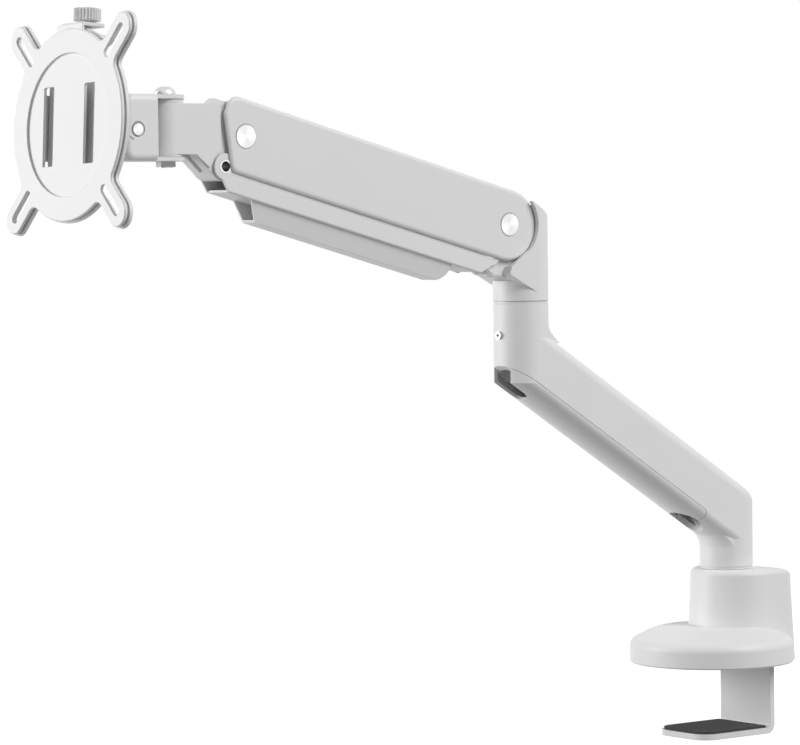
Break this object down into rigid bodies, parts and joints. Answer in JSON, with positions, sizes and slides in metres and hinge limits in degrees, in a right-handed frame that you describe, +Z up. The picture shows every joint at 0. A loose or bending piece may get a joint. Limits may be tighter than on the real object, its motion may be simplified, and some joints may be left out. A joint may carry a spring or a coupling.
{
  "type": "monitor arm with desk clamp",
  "caption": "Clamp-on monitor arm: sloping lower arm with a cable cover, spring-balanced parallelogram arm, tilting head and a quick-release screen plate.",
  "frame": {"origin": "on the desk surface under the foot, on the post's axis", "axes": "+Z up, the arm reaches along -Y, +X to the side that the picture shows; rest pose as pictured"},
  "size_m": [0.1225, 0.5359, 0.4489],
  "materials": {
    "white_coat": "fine matt powder coat, white",
    "white_plastic": "matt moulded plastic, white",
    "white_nylon": "plain nylon, off-white",
    "bright_cap": "spun bright aluminium",
    "dark_pad": "matt foam rubber, dark grey",
    "white_screw": "satin, pale grey",
    "steel": "plain zinc-plated steel",
    "black_tube": "satin black"
  },
  "bodies": {
    "base": {"base_housing": "white_coat", "desk_pad": "dark_pad", "base_spindle": "steel", "spindle_clip": "steel"},
    "clamp_screw": {"clamp_screw": "steel"},
    "clamp": {"clamp_bracket": "white_coat", "clamp_nut": "steel", "jaw_pad": "dark_pad"},
    "lower_arm": {"lower_arm_beam": "white_coat", "lower_cable_cover": "white_plastic", "base_bush": "white_nylon", "elbow_bush": "white_nylon", "elbow_grub_screw": "steel"},
    "elbow": {"elbow_bracket": "white_coat", "elbow_shaft": "steel", "rear_pivot_pins": "steel", "link_rear_pins": "steel"},
    "tension_screw": {"tension_screw": "steel"},
    "spring_anchor": {"spring_anchor": "steel"},
    "arm": {"arm_cover": "white_coat", "rear_arm_bushes": "white_nylon", "front_arm_bushes": "white_nylon", "rear_pivot_caps": "bright_cap", "front_pivot_caps": "bright_cap", "spring_hanger": "steel", "spring_pin": "steel", "gas_cylinder": "black_tube"},
    "spring_rod": {"spring_rod": "steel", "spring_yoke": "steel"},
    "link": {"lower_link": "white_coat", "cable_tray": "white_plastic"},
    "knuckle": {"front_knuckle": "white_coat", "front_pivot_pin": "steel", "link_front_pin": "steel", "pan_bush_top": "white_nylon", "pan_bush_bottom": "white_nylon"},
    "swivel": {"swivel_bracket": "white_coat", "pan_bolt": "white_screw", "pan_nut": "white_screw"},
    "tilt_head": {"tilt_bracket": "white_coat", "tilt_pin": "white_screw", "tilt_washers": "white_nylon", "turn_disc": "white_nylon", "turn_rivet": "steel"},
    "carrier": {"carrier_plate": "white_coat"},
    "plate": {"screen_plate": "white_coat"},
    "thumb_screw": {"thumb_screw": "white_screw"}
  },
  "joints": [
    {"name": "clamp_screw_turn", "type": "hinge", "parent": "base", "child": "clamp_screw", "pos_m": [0, 0.0246, 0.0445], "axis": [0, 0, -1], "range_deg": [-2310, 7500]},
    {"name": "clamp_slide", "type": "slide", "parent": "base", "child": "clamp", "axis": [0, 0, 1], "range_m": [-0.008, 0.026]},
    {"name": "base_swivel", "type": "hinge", "parent": "base", "child": "lower_arm", "pos_m": [0, 0, 0.07], "axis": [0, 0, 1], "range_deg": [-175, 175]},
    {"name": "elbow_swivel", "type": "hinge", "parent": "lower_arm", "child": "elbow", "pos_m": [0, -0.167, 0.232], "axis": [0, 0, 1], "range_deg": [-170, 170]},
    {"name": "tension_screw_turn", "type": "hinge", "parent": "elbow", "child": "tension_screw", "pos_m": [0, -0.18896, 0.25922], "axis": [0, 0.1478, 0.989], "range_deg": [-725, 725]},
    {"name": "anchor_slide", "type": "slide", "parent": "elbow", "child": "spring_anchor", "axis": [0, -0.1478, -0.989], "range_m": [-0.002, 0.002]},
    {"name": "arm_lift", "type": "hinge", "parent": "elbow", "child": "arm", "pos_m": [0, -0.186, 0.279], "axis": [-1, 0, 0], "range_deg": [-40, 30]},
    {"name": "link_swing", "type": "hinge", "parent": "elbow", "child": "link", "pos_m": [0, -0.1989, 0.2619], "axis": [-1, 0, 0], "range_deg": [-40.1, 30.1]},
    {"name": "spring_stroke", "type": "slide", "parent": "arm", "child": "spring_rod", "axis": [0, -0.9655, 0.2605], "range_m": [-0.0081, 0.0107]},
    {"name": "knuckle_level", "type": "hinge", "parent": "arm", "child": "knuckle", "pos_m": [0, -0.3789, 0.33105], "axis": [-1, 0, 0], "range_deg": [-30.1, 40.1]},
    {"name": "pan", "type": "hinge", "parent": "knuckle", "child": "swivel", "pos_m": [0, -0.425, 0.335], "axis": [0, 0, 1], "range_deg": [-75, 75]},
    {"name": "tilt", "type": "hinge", "parent": "swivel", "child": "tilt_head", "pos_m": [0.00073, -0.45479, 0.3346], "axis": [-0.9997, -0.0244, 0], "range_deg": [-30, 28]},
    {"name": "screen_turn", "type": "hinge", "parent": "tilt_head", "child": "carrier", "pos_m": [0.00146, -0.48471, 0.33672], "axis": [0.0244, -0.9972, 0.0706], "range_deg": [-90, 90]},
    {"name": "plate_release", "type": "slide", "parent": "carrier", "child": "plate", "axis": [-0.0357, 0.0697, 0.9969], "range_m": [0, 0.03]},
    {"name": "thumb_screw_turn", "type": "hinge", "parent": "plate", "child": "thumb_screw", "pos_m": [-0.00081, -0.47554, 0.39618], "axis": [-0.0357, 0.0697, 0.9969], "range_deg": [-1800, 1800]}
  ],
  "couplings": [
    {"joint": "clamp_screw_turn", "follows": "clamp_slide", "rad_per_m": 5026.5},
    {"joint": "tension_screw_turn", "follows": "anchor_slide", "rad_per_m": 6283.2},
    {"joint": "link_swing", "follows": "arm_lift", "ratio": 1},
    {"joint": "knuckle_level", "follows": "arm_lift", "ratio": -1},
    {"joint": "spring_stroke", "follows": "arm_lift", "m_per_rad": -0.015}
  ]
}
